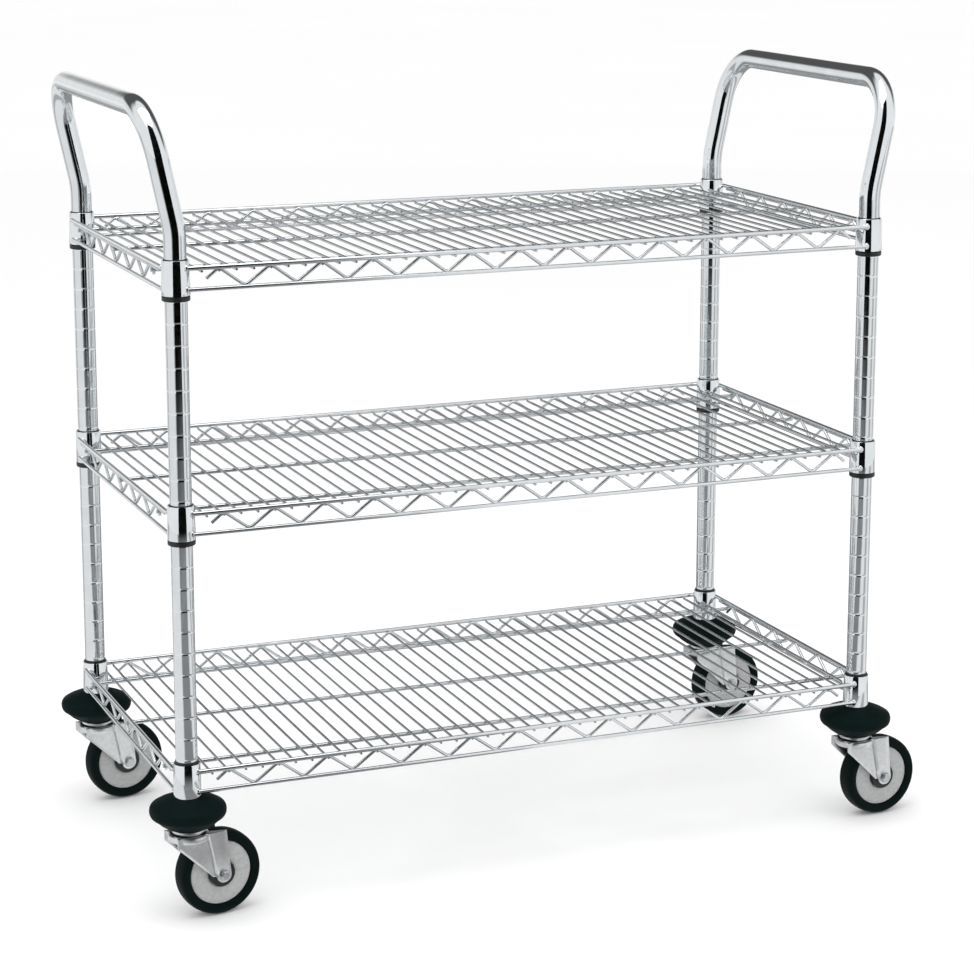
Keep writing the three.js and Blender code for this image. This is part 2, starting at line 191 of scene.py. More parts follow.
for side, out in (("left", -1), ("right", 1)):
    x, front_y = post_at["front_" + side]
    lean_angle = math.atan(HANDLE_LEAN)
    lean = np.array([out * math.sin(lean_angle), 0, math.cos(lean_angle)])
    bar_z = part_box("upright_" + side)[1].z / MM - TUBE_R
    # Straight leg with the ring grooves: the outer two of a groove's seven levels keep the tube's
    # sides straight up to it, and the middle three are drawn in.
    shape = np.array([[-2.2, 0], [-0.9, 0], [-0.45, 0.6], [0, 1], [0.45, 0.6], [0.9, 0], [2.2, 0]])
    grooves = (GROOVE_FIRST + GROOVE_PITCH * np.arange(GROOVE_COUNT))[:, None] + shape[:, 0]
    levels = np.concatenate([[POST_FOOT, POST_FOOT + 0.5], grooves.ravel(), [STRAIGHT_TOP]])
    groove_reach = np.tile(TUBE_R - GROOVE_DEPTH * shape[:, 1], GROOVE_COUNT)
    reach = np.concatenate([[TUBE_R - 0.5, TUBE_R], groove_reach, [TUBE_R]])
    straight = np.stack([np.full_like(levels, x), np.full_like(levels, front_y), levels], -1)
    # Gentle bend outward, then the leaning stretch, then the quarter bend into the grip bar.
    bend_start = HANDLE_BEND - GENTLE_BEND_R * math.tan(lean_angle / 2)
    centre = [x + out * GENTLE_BEND_R, front_y, bend_start]
    bend = arc(centre, [-out, 0, 0], [0, 0, 1], GENTLE_BEND_R, lean_angle, 7)
    travel = (bar_z - HANDLE_BEND) / lean[2] - HANDLE_CORNER_R
    centre = np.array([x, front_y + HANDLE_CORNER_R, HANDLE_BEND]) + lean * travel
    quarter = arc(centre, [0, -1, 0], lean, HANDLE_CORNER_R, math.pi / 2, 15)
    middle = quarter[-1:] + [[0, GRIP_MIDDLE, 0]]
    leg = np.concatenate([straight, bend, quarter, middle])
    reach = np.concatenate([reach, np.full(len(leg) - len(reach), TUBE_R)])
    tube = np.concatenate([leg, leg[::-1] * [1, -1, 1]])
    spoke = [math.cos(lean_angle), 0, -out * math.sin(lean_angle)]
    rings = sweep(tube, np.concatenate([reach, reach[::-1]]), 40, spoke)
    made = piece(side + "_upright_tube", [skin(rings)], tube_chrome)
    stand_for(made, "upright_" + side, "frame")

# ---- Shelf end frames ----
# Each short side of a shelf: two tapered steel collars with a rim wire between them, a lower wire,
# and a bent zigzag wire that ties the two. All of it is resistance welded, then chrome plated.
SHELVES = ("bottom", "middle", "top")
RIM_WIRE_R = 2.7
LOW_WIRE_R = 2.4
ZIGZAG_WIRE_R = 1.9
ZIGZAG_INSET = 2.0  # its axis lies this far inside the rim wire's
ZIGZAG_BEND = 5.5
ZIGZAG_STUB = 11.5  # how far its cut ends hang down
TRUSS_DROP = 24
WAVE = 60.55  # one full wave of the zigzag
SIDE_OFFSET = 13.85  # of the end wires outside the posts' axes
END_WIRE_STOP = 7  # how far short of the posts' axes the end wires stop, inside the collars
COLLAR_UP = 9
COLLAR_DOWN = 31
COLLAR_WALL = 1.55
TAPER_TOP_R = 13.55
TAPER_LOW_R = 14.35


def plated_wire(name, bright, dim):
    """Chrome over drawn wire: `bright` and `dim` plating in soft patches about 30 mm long, duller
    where it is dim, over a fine grit left by the drawing die."""
    made, tree, shader, place = new_finish(name, 1.0, 0.14)
    patches = add(tree, "ShaderNodeTexNoise", {"Vector": place, "Scale": 1 / 0.030, "Detail": 3.0})
    patch = patches.outputs["Fac"]
    grit = add(tree, "ShaderNodeTexNoise", {"Vector": place, "Scale": 1 / 0.0015, "Detail": 2.0})
    grain = grit.outputs["Fac"]
    tint = add(tree, "ShaderNodeMix", {"Factor": patch}, data_type="RGBA")
    tint.inputs["A"].default_value = linear(bright)
    tint.inputs["B"].default_value = linear(dim)
    dull = add(tree, "ShaderNodeMapRange", {"Value": patch, "From Min": 0.3, "From Max": 0.7})
    dull.inputs["To Min"].default_value = 0.10
    dull.inputs["To Max"].default_value = 0.20
    rough = add(tree, "ShaderNodeBump", {"Height": grain, "Strength": 0.06, "Distance": 0.0001})
    tree.links.new(tint.outputs["Result"], shader.inputs["Base Color"])
    tree.links.new(dull.outputs["Result"], shader.inputs["Roughness"])
    tree.links.new(rough.outputs["Normal"], shader.inputs["Normal"])
    return made


# The frames' wires are bright, with greyer, softer reflections than the tube's; the welding heat
# leaves duller patches along them.
wire_chrome = plated_wire("bright_chrome_plate_on_welded_wire", "#e8ebed", "#cfd3d6")

shelf_z = {shelf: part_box(shelf + "_deck")[1].z / MM + 3.2 for shelf in SHELVES}
middle_x = (post_at["front_left"][0] + post_at["front_right"][0]) / 2
half_x = post_at["front_right"][0] - middle_x
half_y = post_at["back_left"][1]


def wire(start, end, radius, sides=12):
    """A straight wire with its two cut ends slightly rounded: four rings, the outer two narrower."""
    start, end = np.asarray(start, float), np.asarray(end, float)
    way = (end - start) / np.linalg.norm(end - start)
    path = np.stack([start, start + 0.25 * radius * way, end - 0.25 * radius * way, end])
    toward = [0, 0, 1] if abs(way[2]) < 0.9 else [1, 0, 0]
    return skin(sweep(path, radius * np.array([0.7, 1, 1, 0.7]), sides, toward))


def turned(profile, centre, sides, hollow=False):
    """A part turned about the upright axis through `centre`: each profile point (radius, height)
    becomes a ring of that radius at that height."""
    profile = np.asarray(profile, float)
    turn = 2 * np.pi * np.arange(sides) / sides
    circle = np.stack([np.cos(turn), np.sin(turn), np.zeros(sides)], -1)
    rings = profile[:, :1, None] * circle + profile[:, 1:, None] * np.array([0, 0, 1.0])
    return skin(rings + np.array([centre[0], centre[1], 0]), hollow)


def eased(corners, pull, steps=5):
    """A bent wire's path: each inner corner C is replaced by the curve (1-t)^2 A + 2t(1-t) C + t^2 B,
    where A and B lie `pull` before and after C on its two straight runs."""
    corners = np.asarray(corners, float)
    before = corners[:-2] - corners[1:-1]
    after = corners[2:] - corners[1:-1]
    a = corners[1:-1] + pull * before / np.linalg.norm(before, axis=1, keepdims=True)
    b = corners[1:-1] + pull * after / np.linalg.norm(after, axis=1, keepdims=True)
    t = np.linspace(0, 1, steps)[None, :, None]
    curve = (1 - t) ** 2 * a[:, None] + 2 * t * (1 - t) * corners[1:-1, None] + t**2 * b[:, None]
    return np.concatenate([corners[:1], curve.reshape(-1, 3), corners[-1:]])


def zigzag(peaks, rim_z):
    """Corner points of the zigzag wire along X, centred on 0: peaks half a wave to each side of
    every valley, with the two cut ends hanging down and outward from the last peaks."""
    top, low = rim_z - 1.2, rim_z - TRUSS_DROP + 0.8
    count = 2 * peaks - 1
    along = (np.arange(count) - (count - 1) / 2) * WAVE / 2
    height = np.where(np.arange(count) % 2 == 0, top, low)
    stub = ZIGZAG_STUB * WAVE / 2 / TRUSS_DROP
    along = np.concatenate([[along[0] - stub], along, [along[-1] + stub]])
    height = np.concatenate([[top - ZIGZAG_STUB], height, [top - ZIGZAG_STUB]])
    return np.stack([along, np.zeros_like(along), height], -1)


def collar(at, rim_z):
    """The tapered collar: outer and inner walls follow the sleeve's taper, with eased rims."""
    high, low = rim_z + COLLAR_UP, rim_z - COLLAR_DOWN
    inner_high, inner_low = TAPER_TOP_R + 0.3, TAPER_LOW_R + 0.3
    outer_high, outer_low = inner_high + COLLAR_WALL, inner_low + COLLAR_WALL
    profile = [
        (inner_low, low + 0.4), (inner_low + 0.4, low), (outer_low - 0.4, low), (outer_low, low + 0.4),
        (outer_high, high - 0.5), (outer_high - 0.4, high), (inner_high + 0.3, high),
        (inner_high, high - 0.4),
    ]
    return turned(profile, at, 48, hollow=True)


for shelf in SHELVES:
    rim_z = shelf_z[shelf]
    for side, out in (("left", -1), ("right", 1)):
        x = middle_x + out * (half_x + SIDE_OFFSET)
        reach = half_y - END_WIRE_STOP
        low_z = rim_z - TRUSS_DROP
        bent = eased(zigzag(6, rim_z), ZIGZAG_BEND)[:, [1, 0, 2]] + [x - out * ZIGZAG_INSET, 0, 0]
        parts = [
            wire([x, -reach, rim_z], [x, reach, rim_z], RIM_WIRE_R),
            wire([x, -reach, low_z], [x, reach, low_z], LOW_WIRE_R),
            skin(sweep(bent, ZIGZAG_WIRE_R, 10, [1, 0, 0])),
        ]
        parts += [collar(post_at[end + side], rim_z) for end in ("front_", "back_")]
        finishes = [wire_chrome] * 3 + [tube_chrome] * 2
        made = piece(shelf + "_" + side + "_end_wires_and_collars", parts, finishes)
        stand_for(made, shelf + "_end_" + side, "frame")

# ---- Shelf long sides ----
# The same zigzag truss along the front and the back, made separately and welded to the collars'
# flanks. A bead of weld shows where each long wire meets a collar.
FRONT_OFFSET = 12.6  # of the long wires outside the posts' axes
LONG_WIRE_STOP = 9.0
BEAD_SIZE = (3.6, 4.2)


def bead(at, size):
    """A weld bead: a squashed ball, its rings' radius and height being size times sin and -cos."""
    a = np.linspace(0.25, np.pi - 0.25, 6)
    profile = np.stack([size[0] * np.sin(a), at[2] - size[1] * np.cos(a)], -1)
    return turned(profile, at, 10)


for shelf in SHELVES:
    rim_z = shelf_z[shelf]
    for side, out in (("front", -1), ("back", 1)):
        y = out * (half_y + FRONT_OFFSET)
        reach = half_x - LONG_WIRE_STOP
        low_z = rim_z - TRUSS_DROP
        bent = eased(zigzag(14, rim_z), ZIGZAG_BEND) + [middle_x, y - out * ZIGZAG_INSET, 0]
        parts = [
            wire([middle_x - reach, y, rim_z], [middle_x + reach, y, rim_z], RIM_WIRE_R),
            wire([middle_x - reach, y, low_z], [middle_x + reach, y, low_z], LOW_WIRE_R),
            skin(sweep(bent, ZIGZAG_WIRE_R, 10, [0, 1, 0])),
        ]
        for end in (-1, 1):
            for z in (rim_z, low_z):
                parts.append(bead([middle_x + end * (reach - 0.5), y - out * 1.0, z], BEAD_SIZE))
        made = piece(shelf + "_" + side + "_truss_wires", parts, wire_chrome)
        stand_for(made, shelf + "_truss_" + side, "frame")

# ---- Shelf decks ----
# Forty-two cross wires and two end wires a side lie on three long wires, and hang under the rim
# wires. Every crossing is spot welded, so the wires sink a little into each other.
DECK_WIRE_R = 1.55
SUPPORT_WIRE_R = 2.5
DECK_COUNT = 42
SUPPORT_Y = 167
SUPPORT_HALF = 457
END_WIRES = ((428.5, 197), (half_x + SIDE_OFFSET, 194))  # distance from the middle, half length
WELD_SINK = 0.2  # how far crossing wires melt into each other

# The deck's wires carry painted shade: the same chrome plate as the frame wires, given a darker grey base
# colour so that the grid reads darker.
shaded_deck_chrome = plated_wire("deck_wire_chrome_with_painted_shade", "#dadee0", "#b4b9bc")


def deck_wires(rim_z):
    """Centres along X at (i - 20.5) thirds of a zigzag wave, each wire running under both rim wires."""
    z = rim_z - RIM_WIRE_R - DECK_WIRE_R + WELD_SINK
    reach = half_y + FRONT_OFFSET + 0.2
    along = middle_x + (np.arange(DECK_COUNT) - (DECK_COUNT - 1) / 2) * WAVE / 3
    parts = [wire([x, -reach, z], [x, reach, z], DECK_WIRE_R, 10) for x in along]
    for out in (-1, 1):
        for distance, end in END_WIRES:
            x = middle_x + out * distance
            parts.append(wire([x, -end, z], [x, end, z], DECK_WIRE_R, 10))
    low = z - DECK_WIRE_R - SUPPORT_WIRE_R + WELD_SINK
    for y in (-SUPPORT_Y, 0, SUPPORT_Y):
        start, stop = middle_x - SUPPORT_HALF, middle_x + SUPPORT_HALF
        parts.append(wire([start, y, low], [stop, y, low], SUPPORT_WIRE_R))
    return parts


for shelf in SHELVES:
    made = piece(shelf + "_deck_wires", deck_wires(shelf_z[shelf]), shaded_deck_chrome)
    stand_for(made, shelf + "_deck", "frame")

# ---- Sleeves ----
# A split, tapered ring of moulded nylon that snaps into a groove of the post. The shelf's collar
# drops over it and wedges tight. A dark ring of it shows under the collar, and a thin one above.
SLEEVE_SHOW = 6
FLANGE_R = 16.0
SLIT = 1.6

# Injection-moulded black nylon: satin, slightly green-black, with a fine moulded grain under 1 mm.
sleeve_nylon, tree, shader, place = new_finish("moulded_black_nylon", 0.0, 0.42)
grain = add(tree, "ShaderNodeTexNoise", {"Vector": place, "Scale": 1 / 0.0008, "Detail": 3.0})
tint = add(tree, "ShaderNodeMix", {"Factor": grain.outputs["Fac"]}, data_type="RGBA")
tint.inputs["A"].default_value = linear("#050908")
tint.inputs["B"].default_value = linear("#0f1513")
dull = add(tree, "ShaderNodeMapRange", {"Value": grain.outputs["Fac"], "To Min": 0.36, "To Max": 0.5})
pit = add(tree, "ShaderNodeBump", {"Height": grain.outputs["Fac"], "Strength": 0.15, "Distance": 0.0001})
tree.links.new(tint.outputs["Result"], shader.inputs["Base Color"])
tree.links.new(dull.outputs["Result"], shader.inputs["Roughness"])
tree.links.new(pit.outputs["Normal"], shader.inputs["Normal"])


def split_ring(profile, at, inward):
    """A ring with one slit: the closed (radius, height) profile is carried round the post from the
    slit's one face to its other, and both faces are filled. `inward` puts the slit on +X or -X."""
    profile = np.asarray(profile, float)
    open_half = SLIT / 2 / TUBE_R
    turn = np.linspace(open_half, 2 * np.pi - open_half, 49) + (0 if inward > 0 else np.pi)
    across = np.stack([np.cos(turn), np.sin(turn), np.zeros_like(turn)], -1)
    rings = profile[None, :, :1] * across[:, None] + profile[None, :, 1:] * np.array([0, 0, 1.0])
    return skin(rings[::-1] + np.array([at[0], at[1], 0]))


for shelf in SHELVES:
    rim_z = shelf_z[shelf]
    standing = shelf == "bottom"  # on this shelf the sleeve ends at the collar, on top of the bumper
    high = rim_z + COLLAR_UP + (3 if standing else 1)
    collar_low = rim_z - COLLAR_DOWN
    low = collar_low - (0 if standing else SLEEVE_SHOW)
    bore = TUBE_R + 0.15
    profile = [
        (bore, low + 0.3), (bore + 0.3, low), (TAPER_LOW_R, low), (TAPER_LOW_R, collar_low + 0.6),
        (TAPER_TOP_R, high - 0.3), (TAPER_TOP_R - 0.3, high), (bore, high),
    ]
    if not standing:  # the flange that the collar comes down to
        profile[2:3] = [
            (FLANGE_R - 0.9, low), (FLANGE_R, low + 0.9), (FLANGE_R, collar_low - 0.9),
            (FLANGE_R - 0.7, collar_low - 0.3), (TAPER_LOW_R, collar_low - 0.25),
        ]
    for corner in CORNERS:
        ring = split_ring(profile, post_at[corner], 1 if "left" in corner else -1)
        made = piece(shelf + "_split_sleeve_" + corner, [ring], sleeve_nylon)
        stand_for(made, shelf + "_sleeve_" + corner, "frame")

# ---- Bumpers ----
# A thick ring of moulded black rubber on the caster's stem, under each bottom collar. Its rim
# stands out past the shelf and takes the knocks; its underside tapers like a bowl.
BUMPER_R = 44.75

# Moulded rubber: dull, slightly green-black, with the fine bloom and scuffs that lift the colour.
bumper_rubber, tree, shader, place = new_finish("moulded_black_rubber", 0.0, 0.6)
bloom = add(tree, "ShaderNodeTexNoise", {"Vector": place, "Scale": 1 / 0.018, "Detail": 5.0})
grain = add(tree, "ShaderNodeTexNoise", {"Vector": place, "Scale": 1 / 0.0012, "Detail": 3.0})
tint = add(tree, "ShaderNodeMix", {"Factor": bloom.outputs["Fac"]}, data_type="RGBA")
tint.inputs["A"].default_value = linear("#030f0e")
tint.inputs["B"].default_value = linear("#081a19")
dull = add(tree, "ShaderNodeMapRange", {"Value": bloom.outputs["Fac"], "From Min": 0.3, "From Max": 0.7})
dull.inputs["To Min"].default_value = 0.5
dull.inputs["To Max"].default_value = 0.7
pit = add(tree, "ShaderNodeBump", {"Height": grain.outputs["Fac"], "Strength": 0.25, "Distance": 0.0002})
tree.links.new(tint.outputs["Result"], shader.inputs["Base Color"])
tree.links.new(dull.outputs["Result"], shader.inputs["Roughness"])
tree.links.new(pit.outputs["Normal"], shader.inputs["Normal"])
shader.inputs["Specular IOR Level"].default_value = 0.05

for corner in CORNERS:
    # Rim as half an ellipse between the top slope and the bowl underneath.
    a = np.linspace(-1.2, 1.3, 13)
    rim = np.stack([BUMPER_R - 4.6 + 4.6 * np.cos(a), 132.0 + 7.5 * np.sin(a)], -1)
    profile = np.concatenate([
        [(7.2, 110.2), (19.0, 110.2), (21.0, 110.6), (26.5, 113.2), (33.0, 117.6), (38.0, 122.2)],
        rim,
        [(37.0, 141.8), (30.0, 144.8), (23.0, 147.0), (16.8, 148.8), (7.2, 148.8)],
    ])
    ring = turned(profile, post_at[corner], 72, hollow=True)
    made = piece("rubber_bumper_" + corner, [ring], bumper_rubber, 50)
    stand_for(made, "bumper_" + corner, "frame")

# ---- Caster stems ----
# Steel kingpin with its riveted head, the lower ball race, a plain shank through the bumper and
# the insert that grips the bore of the post. Turned and pressed steel, clear zinc plated.

# Clear zinc plate on pressed steel: satin blue-grey, with the soft mottling of the bath at
# a few millimetres and the fine scratches of handling.
zinc_plate, tree, shader, place = new_finish("clear_zinc_plate_on_pressed_steel", 1.0, 0.36)
mottle = add(tree, "ShaderNodeTexNoise", {"Vector": place, "Scale": 1 / 0.004, "Detail": 4.0})
bath = add(tree, "ShaderNodeTexNoise", {"Vector": place, "Scale": 1 / 0.020, "Detail": 2.0})
tint = add(tree, "ShaderNodeMix", {"Factor": mottle.outputs["Fac"]}, data_type="RGBA")
tint.inputs["A"].default_value = linear("#eceeef")
tint.inputs["B"].default_value = linear("#c6c9ca")
dull = add(tree, "ShaderNodeMapRange", {"Value": bath.outputs["Fac"], "From Min": 0.3, "From Max": 0.7})
dull.inputs["To Min"].default_value = 0.30
dull.inputs["To Max"].default_value = 0.48
uneven = add(tree, "ShaderNodeBump", {"Height": mottle.outputs["Fac"], "Strength": 0.12})
uneven.inputs["Distance"].default_value = 0.0002
tree.links.new(tint.outputs["Result"], shader.inputs["Base Color"])
tree.links.new(dull.outputs["Result"], shader.inputs["Roughness"])
tree.links.new(uneven.outputs["Normal"], shader.inputs["Normal"])

for corner in CORNERS:
    profile = [
        (0.8, 96.8), (5.5, 96.9), (7.2, 97.8), (7.5, 99.6), (7.3, 100.2), (4.7, 100.3), (4.7, 105.1),
        (17.6, 105.1), (19.0, 105.9), (19.4, 107.4), (18.6, 109.2), (17.4, 109.8), (6.6, 109.8),
        (6.6, 151.0), (9.3, 153.0), (9.3, 190.0), (7.8, 193.5), (0.8, 196.0),
    ]
    made = piece("caster_stem_" + corner, [turned(profile, post_at[corner], 40)], zinc_plate)
    stand_for(made, "stem_" + corner, "frame")

# ---- Caster forks ----
# One steel blank pressed into a round crown and two legs that trail behind the swivel. The crown's
# skirt covers the ball race; each leg narrows to the axle and is stiffened by an upright crease.
TRAIL = 36
WHEEL_R = 50.8
FORK_INNER = 15.7
FORK_PLATE = 2.6
FORK_TOP = 104.8
LEG_TOP_LEFT = -22.0
LEG_TOP_RIGHT = 40.5
LEG_SHOULDER = 93  # height at which the left edge leaves the upright for the diagonal
LEG_END_R = 9.4


def caster_frame(corner):
    """Swivel centre and the two level directions of one caster: behind (towards the axle) and across
    (along the axle), taken from the axle's own axis in the frame's joints."""
    axis = next(j["axis"] for j in frame["joints"] if j["name"] == "spin_" + corner)
    across = np.array(axis, float) / np.linalg.norm(axis)
    return np.array([*post_at[corner], 0.0]), np.cross(across, [0, 0, 1.0]), across


def swung(surface, corner):
    """Turns a surface given as (behind, across, up) about its caster's swivel and moves it there."""
    points, quads, ends = surface
    centre, behind, across = caster_frame(corner)
    return centre + points @ np.stack([behind, across, [0, 0, 1.0]]), quads, ends


def leg(out):
    """One fork leg as two grids, its outer face and its inner one. At height z a row runs from a left
    edge (straight down, then a diagonal) to a right edge (nearly upright); below the axle both close
    in on a round end of radius LEG_END_R. The sheet is pressed outward right of a crease, by a
    logistic step with a valley along it, and its left edge is turned out and its right edge in, by
    bell curves of the distance from them."""
    rows, cols = 46, 61
    around = np.sin(np.linspace(0.08, 1.53, rows - 32))
    drop = np.concatenate([np.linspace(FORK_TOP, WHEEL_R, 32), WHEEL_R - (LEG_END_R - 0.1) * around])
    round_end = np.sqrt(np.maximum(LEG_END_R**2 - np.minimum(drop - WHEEL_R, 0) ** 2, 0.3))
    left = LEG_TOP_LEFT + np.maximum(LEG_SHOULDER - drop, 0) * 1.04
    left = np.where(drop < WHEEL_R, np.maximum(left, TRAIL - round_end), left)
    edge = LEG_TOP_RIGHT + (FORK_TOP - drop) * (TRAIL + LEG_END_R - LEG_TOP_RIGHT) / (FORK_TOP - WHEEL_R)
    right = np.where(drop > WHEEL_R, edge, TRAIL + round_end)
    u = np.linspace(0, 1, cols)
    x = left[:, None] + (right - left)[:, None] * u
    z = np.broadcast_to(drop[:, None], x.shape)
    crease = 15 + (FORK_TOP - z) * 0.20
    fade = 1 / (1 + np.exp((57 - z) / 2.5))  # 1 above the axle, and 0 round it, where the sheet is flat
    press = 1.6 * fade / (1 + np.exp(-(x - crease) / 0.7))
    press -= 2.6 * fade * np.exp(-(((x - crease) / 1.1) ** 2))
    # A dimple above the axle hole.
    press -= 2.4 * np.exp(-(((x - 26.5) / 1.8) ** 2) - ((z - 54) / 4.0) ** 2)
    flange = 1.4 * np.exp(-((x - left[:, None]) / 2.2) ** 2) * fade
    right_roll = -2.2 * np.exp(-((right[:, None] - x) / 3.0) ** 2) * fade
    outer = FORK_INNER + FORK_PLATE + press + flange + right_roll
    return [np.stack([x, out * y, z], -1) for y in (outer, outer - FORK_PLATE)]


def leg_surface(out):
    """Closes the leg: the outer grid, the inner grid with its faces turned, and a strip round both."""
    outer, inner = leg(out)
    rows, cols = outer.shape[:2]
    at = np.arange(rows * cols).reshape(rows, cols)
    grid = np.stack([at[:-1, :-1], at[:-1, 1:], at[1:, 1:], at[1:, :-1]], -1).reshape(-1, 4)
    edge = np.concatenate([at[0, :-1], at[:-1, -1], at[-1, :0:-1], at[:0:-1, 0]])
    follow = np.roll(edge, -1)
    shift = rows * cols
    strip = np.stack([edge, edge + shift, follow + shift, follow], -1)
    quads = np.concatenate([grid, grid[:, ::-1] + shift, strip])
    if out < 0:
        quads = quads[:, ::-1]
    return np.concatenate([outer.reshape(-1, 3), inner.reshape(-1, 3)]), quads, []


def crown():
    """The pressed crown: a shallow dish with a rolled skirt, turned about the swivel axis."""
    profile = [
        (5.2, 100.6), (19.5, 100.6), (21.4, 99.6), (22.2, 97.6), (22.9, 96.9), (23.8, 97.2),
        (24.3, 98.6), (24.2, 102.4), (23.2, 104.1), (21.4, FORK_TOP), (5.2, FORK_TOP),
    ]
    return turned(profile, [0, 0], 48, hollow=True)


def bridge():
    """The flat of the blank between crown and legs: a slab whose plan runs from the crown to the
    legs' trailing edge, as a stack of four outlines, the lowest and highest a little smaller."""
    half = np.array([(-21, -17), (-17, -18.3), (37, -18.3), (40.5, -16.5), (14, -8)])
    outline = np.concatenate([half, half[::-1] * [1, -1]])
    levels = ((0.985, 101.0), (1.0, 101.6), (1.0, 104.2), (0.985, FORK_TOP))
    return skin(np.stack([np.column_stack([outline * s, np.full(len(outline), z)]) for s, z in levels]))


for corner in CORNERS:
    parts = [swung(s, corner) for s in (crown(), bridge(), leg_surface(-1), leg_surface(1))]
    made = piece("caster_fork_" + corner, parts, zinc_plate, 50)
    stand_for(made, "fork_" + corner, "fork_" + corner)

# ---- Axle bolts and nuts ----
# A hexagon bolt holds the wheel between the legs, its head on one leg and its nut on the other.
# Forged steel, zinc plated, with chamfered hexagons.


def on_axle(profile, sides, hollow=False):
    """Turned about the axle: profile points are (radius, distance along the axle), and the rings are
    laid over so that their axis runs across the caster at wheel height."""
    points, quads, ends = turned(profile, [0, 0], sides, hollow)
    laid = np.stack([points[:, 0], points[:, 2], -points[:, 1]], -1) + [TRAIL, 0, WHEEL_R]
    return laid, quads, ends


# Bright zinc over forged steel: a smoother, whiter skin than the pressed sheet's, so that the flats
# of the hexagons catch the light one by one.
bolt_zinc, tree, shader, place = new_finish("bright_zinc_plate_on_forged_steel", 1.0, 0.24)
scale = add(tree, "ShaderNodeTexNoise", {"Vector": place, "Scale": 1 / 0.0025, "Detail": 3.0})
tint = add(tree, "ShaderNodeMix", {"Factor": scale.outputs["Fac"]}, data_type="RGBA")
tint.inputs["A"].default_value = linear("#cfd2d3")
tint.inputs["B"].default_value = linear("#b0b3b5")
dull = add(tree, "ShaderNodeMapRange", {"Value": scale.outputs["Fac"], "To Min": 0.22, "To Max": 0.36})
tree.links.new(tint.outputs["Result"], shader.inputs["Base Color"])
tree.links.new(dull.outputs["Result"], shader.inputs["Roughness"])

FACE = FORK_INNER + FORK_PLATE  # a leg's outer face, from the middle of the axle
for corner in CORNERS:
    shank = on_axle([(4.0, -22.6), (4.85, -22.0), (4.85, 25.2), (4.0, 26.0)], 24)
    head = on_axle([(4.9, -FACE - 5.3), (6.3, -FACE - 4.5), (6.3, -FACE - 1.0)], 6)
    washer = on_axle([(6.6, -FACE - 1.2), (7.0, -FACE - 0.9), (7.0, -FACE - 0.1)], 32)
    parts = [swung(s, corner) for s in (shank, head, washer)]
    made = piece("axle_hex_bolt_" + corner, parts, bolt_zinc, 30)
    stand_for(made, "axle_bolt_" + corner, "fork_" + corner)
    profile = [
        (5.5, FACE + 0.3), (7.5, FACE + 0.3), (7.8, FACE + 1.0), (7.8, FACE + 5.8),
        (6.9, FACE + 6.8), (5.5, FACE + 6.8),
    ]
    nut = on_axle(profile, 6, hollow=True)
    made = piece("axle_hex_nut_" + corner, [swung(nut, corner)], bolt_zinc, 30)
    stand_for(made, "axle_nut_" + corner, "fork_" + corner)

# ---- Wheels ----
# A moulded grey plastic disc turning on the bolt. Its hub carries a black nylon bearing cover a side,
# which fills the gap to the fork legs.

# Moulded polypropylene: matte light grey with faint flow mottling and fine moulded grain.
wheel_plastic, tree, shader, place = new_finish("moulded_grey_polypropylene", 0.0, 0.5)
flow = add(tree, "ShaderNodeTexNoise", {"Vector": place, "Scale": 1 / 0.004, "Detail": 6.0})
flow.inputs["Roughness"].default_value = 0.65
grain = add(tree, "ShaderNodeTexNoise", {"Vector": place, "Scale": 1 / 0.0009, "Detail": 2.0})
tint = add(tree, "ShaderNodeMix", {"Factor": flow.outputs["Fac"]}, data_type="RGBA")
tint.inputs["A"].default_value = linear("#c3c4c4")
tint.inputs["B"].default_value = linear("#878989")
dull = add(tree, "ShaderNodeMapRange", {"Value": flow.outputs["Fac"], "To Min": 0.42, "To Max": 0.62})
pit = add(tree, "ShaderNodeBump", {"Height": grain.outputs["Fac"], "Strength": 0.2, "Distance": 0.0001})
tree.links.new(tint.outputs["Result"], shader.inputs["Base Color"])
tree.links.new(dull.outputs["Result"], shader.inputs["Roughness"])
tree.links.new(pit.outputs["Normal"], shader.inputs["Normal"])

for corner in CORNERS:
    half = np.array([
        (5.15, 7.6), (15.2, 7.9), (16.4, 8.6), (17.6, 9.6), (22.0, 10.1), (31.0, 9.7), (36.0, 9.2),
        (37.6, 8.9), (38.2, 8.3),
    ])
    profile = np.concatenate([half[::-1], half * [1, -1]])
    cover = np.array([(5.15, 7.0), (15.8, 7.0), (15.8, 14.1), (15.1, 14.9), (5.6, 14.9), (5.15, 14.5)])
    rings = [profile, cover, cover[::-1] * [1, -1]]
    parts = [swung(on_axle(ring, 72, hollow=True), corner) for ring in rings]
    made = piece("wheel_disc_" + corner, parts, [wheel_plastic, sleeve_nylon, sleeve_nylon], 30)
    stand_for(made, "wheel_core_" + corner, "wheel_" + corner)

# ---- Tyres ----
# A crowned band of black rubber, moulded onto the disc's rim and held by its grip on it.

# Wheel rubber: dull black, its tread worn smoother and greyer than its walls, with fine grit marks.
tyre_rubber, tree, shader, place = new_finish("moulded_wheel_rubber", 0.0, 0.55)
wear = add(tree, "ShaderNodeTexNoise", {"Vector": place, "Scale": 1 / 0.010, "Detail": 5.0})
grit = add(tree, "ShaderNodeTexNoise", {"Vector": place, "Scale": 1 / 0.0012, "Detail": 2.0})
tint = add(tree, "ShaderNodeMix", {"Factor": wear.outputs["Fac"]}, data_type="RGBA")
tint.inputs["A"].default_value = linear("#030e0d")
tint.inputs["B"].default_value = linear("#091716")
dull = add(tree, "ShaderNodeMapRange", {"Value": wear.outputs["Fac"], "To Min": 0.45, "To Max": 0.68})
pit = add(tree, "ShaderNodeBump", {"Height": grit.outputs["Fac"], "Strength": 0.25, "Distance": 0.0002})
tree.links.new(tint.outputs["Result"], shader.inputs["Base Color"])
tree.links.new(dull.outputs["Result"], shader.inputs["Roughness"])
